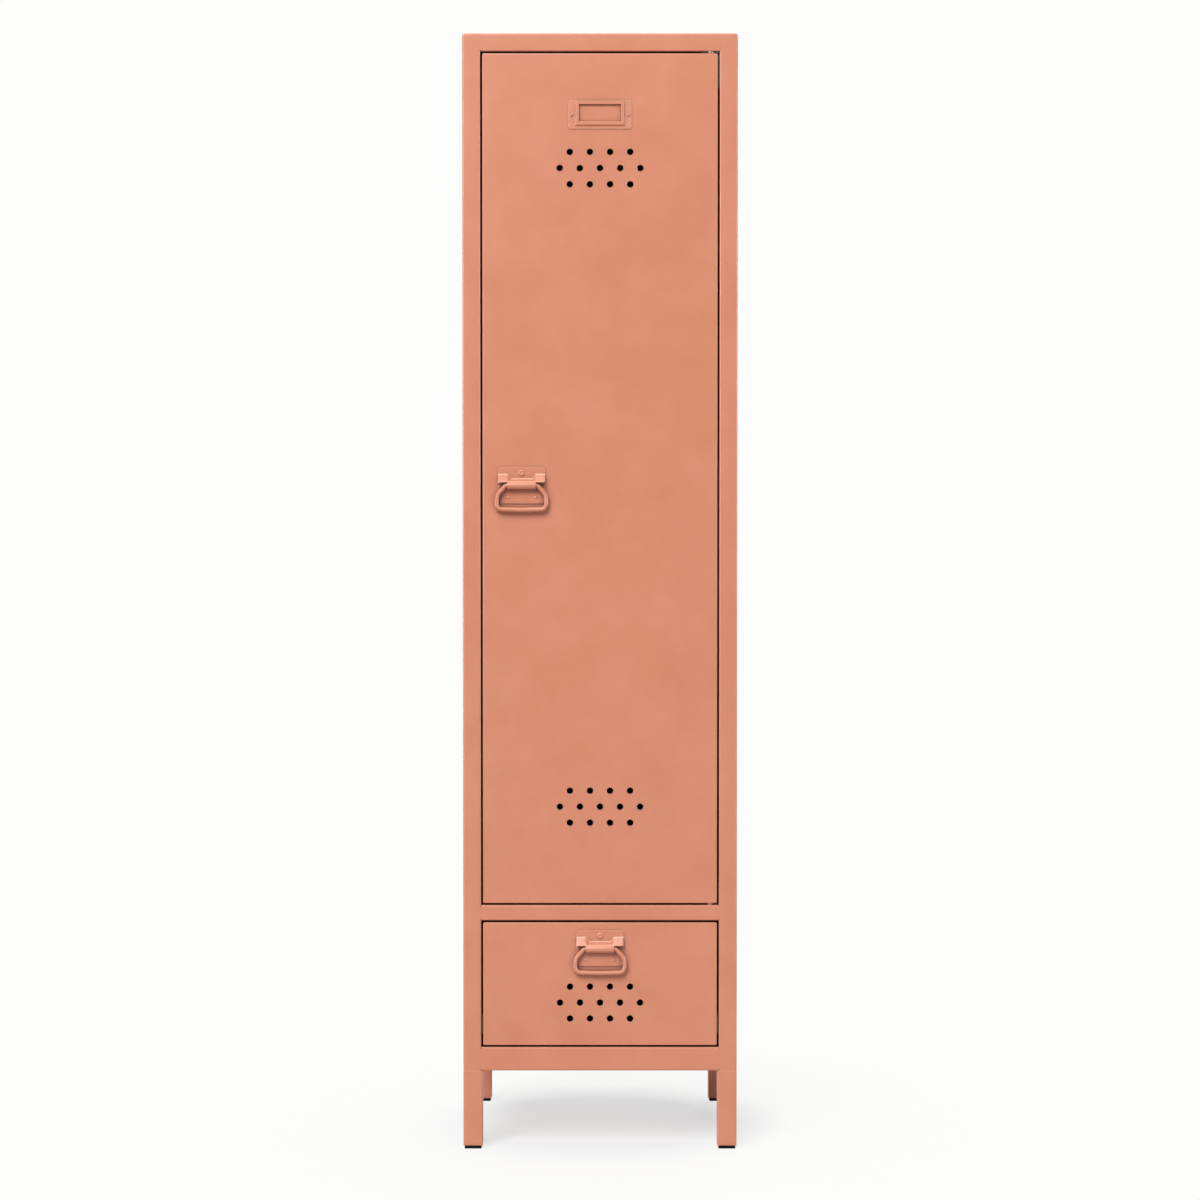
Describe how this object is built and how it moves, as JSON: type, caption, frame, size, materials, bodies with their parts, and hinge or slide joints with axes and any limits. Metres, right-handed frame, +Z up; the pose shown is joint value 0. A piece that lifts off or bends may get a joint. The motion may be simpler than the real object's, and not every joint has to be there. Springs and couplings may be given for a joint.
{
  "type": "locker",
  "caption": "Free-standing sheet steel locker on four legs with a tall vented door over a vented drawer, each with a bail handle.",
  "frame": {"origin": "on the floor under the middle of the whole locker, its handles included", "axes": "+Z up, +X to the right seen from the front, the door and drawer face -Y"},
  "size_m": [0.4, 0.3622, 1.626],
  "materials": {
    "paint": "matte powder coat, warm clay pink",
    "zinc": "bright zinc plate",
    "rail_steel": "polished chrome tube",
    "nylon": "natural nylon",
    "clay_nylon": "nylon coloured to match the paint",
    "runner_enamel": "cream epoxy enamel",
    "foot_plastic": "black moulded polyethylene",
    "magnet": "sintered ferrite"
  },
  "bodies": {
    "cabinet": {"left_side_panel": "paint", "right_side_panel": "paint", "back_panel": "paint", "top_panel": "paint", "bottom_panel": "paint", "middle_deck": "paint", "hat_shelf": "paint", "shelf_clips": "zinc", "coat_rail": "rail_steel", "coat_rail_sockets": "zinc", "leg_front_left": "paint", "leg_front_right": "paint", "leg_back_left": "paint", "leg_back_right": "paint", "leg_nut_plates": "zinc", "leg_bolts": "zinc", "corner_plates": "zinc", "feet": "foot_plastic", "upper_pivot_bracket": "zinc", "lower_pivot_bracket": "paint", "pivot_pins": "zinc", "door_stop_strip": "paint", "catch_housings": "nylon", "catch_magnets": "magnet", "pan_head_screws": "zinc", "left_runner_carrier": "zinc", "right_runner_carrier": "zinc", "left_cabinet_runner": "runner_enamel", "right_cabinet_runner": "runner_enamel", "cabinet_roller_axles": "zinc"},
    "door": {"door_skin": "paint", "door_stiffener": "paint", "pivot_bushes": "clay_nylon", "pivot_reinforcements": "zinc", "strike_plates": "zinc", "label_holder": "paint", "label_rivets": "paint", "door_handle_plate": "paint", "door_knuckle": "paint", "door_handle_rivets": "paint"},
    "door_bail": {"door_bail": "paint"},
    "drawer": {"drawer_front": "paint", "drawer_left_side": "paint", "drawer_right_side": "paint", "drawer_bottom": "paint", "drawer_back": "paint", "left_drawer_runner": "runner_enamel", "right_drawer_runner": "runner_enamel", "drawer_roller_axles": "zinc", "drawer_handle_plate": "paint", "drawer_knuckle": "paint", "drawer_handle_rivets": "paint"},
    "drawer_bail": {"drawer_bail": "paint"},
    "left_cabinet_roller": {"left_cabinet_roller": "nylon"},
    "right_cabinet_roller": {"right_cabinet_roller": "nylon"},
    "left_drawer_roller": {"left_drawer_roller": "nylon"},
    "right_drawer_roller": {"right_drawer_roller": "nylon"}
  },
  "joints": [
    {"name": "door_hinge", "type": "hinge", "parent": "cabinet", "child": "door", "pos_m": [0.161, -0.1639, 0.979], "axis": [0, 0, 1], "range_deg": [0, 110]},
    {"name": "door_bail_swing", "type": "hinge", "parent": "door", "child": "door_bail", "pos_m": [-0.114, -0.17565, 0.9708], "axis": [-1, 0, 0], "range_deg": [-3, 95]},
    {"name": "drawer_slide", "type": "slide", "parent": "cabinet", "child": "drawer", "axis": [0, -1, 0], "range_m": [0, 0.235]},
    {"name": "drawer_bail_swing", "type": "hinge", "parent": "drawer", "child": "drawer_bail", "pos_m": [0, -0.17565, 0.295], "axis": [-1, 0, 0], "range_deg": [-3, 95]},
    {"name": "left_cabinet_roller_spin", "type": "hinge", "parent": "cabinet", "child": "left_cabinet_roller", "pos_m": [-0.16875, -0.1359, 0.178], "axis": [1, 0, 0], "continuous": true},
    {"name": "right_cabinet_roller_spin", "type": "hinge", "parent": "cabinet", "child": "right_cabinet_roller", "pos_m": [0.16875, -0.1359, 0.178], "axis": [1, 0, 0], "continuous": true},
    {"name": "left_drawer_roller_spin", "type": "hinge", "parent": "drawer", "child": "left_drawer_roller", "pos_m": [-0.16525, 0.1306, 0.1805], "axis": [1, 0, 0], "continuous": true},
    {"name": "right_drawer_roller_spin", "type": "hinge", "parent": "drawer", "child": "right_drawer_roller", "pos_m": [0.16525, 0.1306, 0.1805], "axis": [1, 0, 0], "continuous": true}
  ],
  "couplings": [
    {"joint": "left_cabinet_roller_spin", "follows": "drawer_slide", "rad_per_m": 100},
    {"joint": "right_cabinet_roller_spin", "follows": "drawer_slide", "rad_per_m": 100},
    {"joint": "left_drawer_roller_spin", "follows": "drawer_slide", "rad_per_m": 80},
    {"joint": "right_drawer_roller_spin", "follows": "drawer_slide", "rad_per_m": 80}
  ]
}
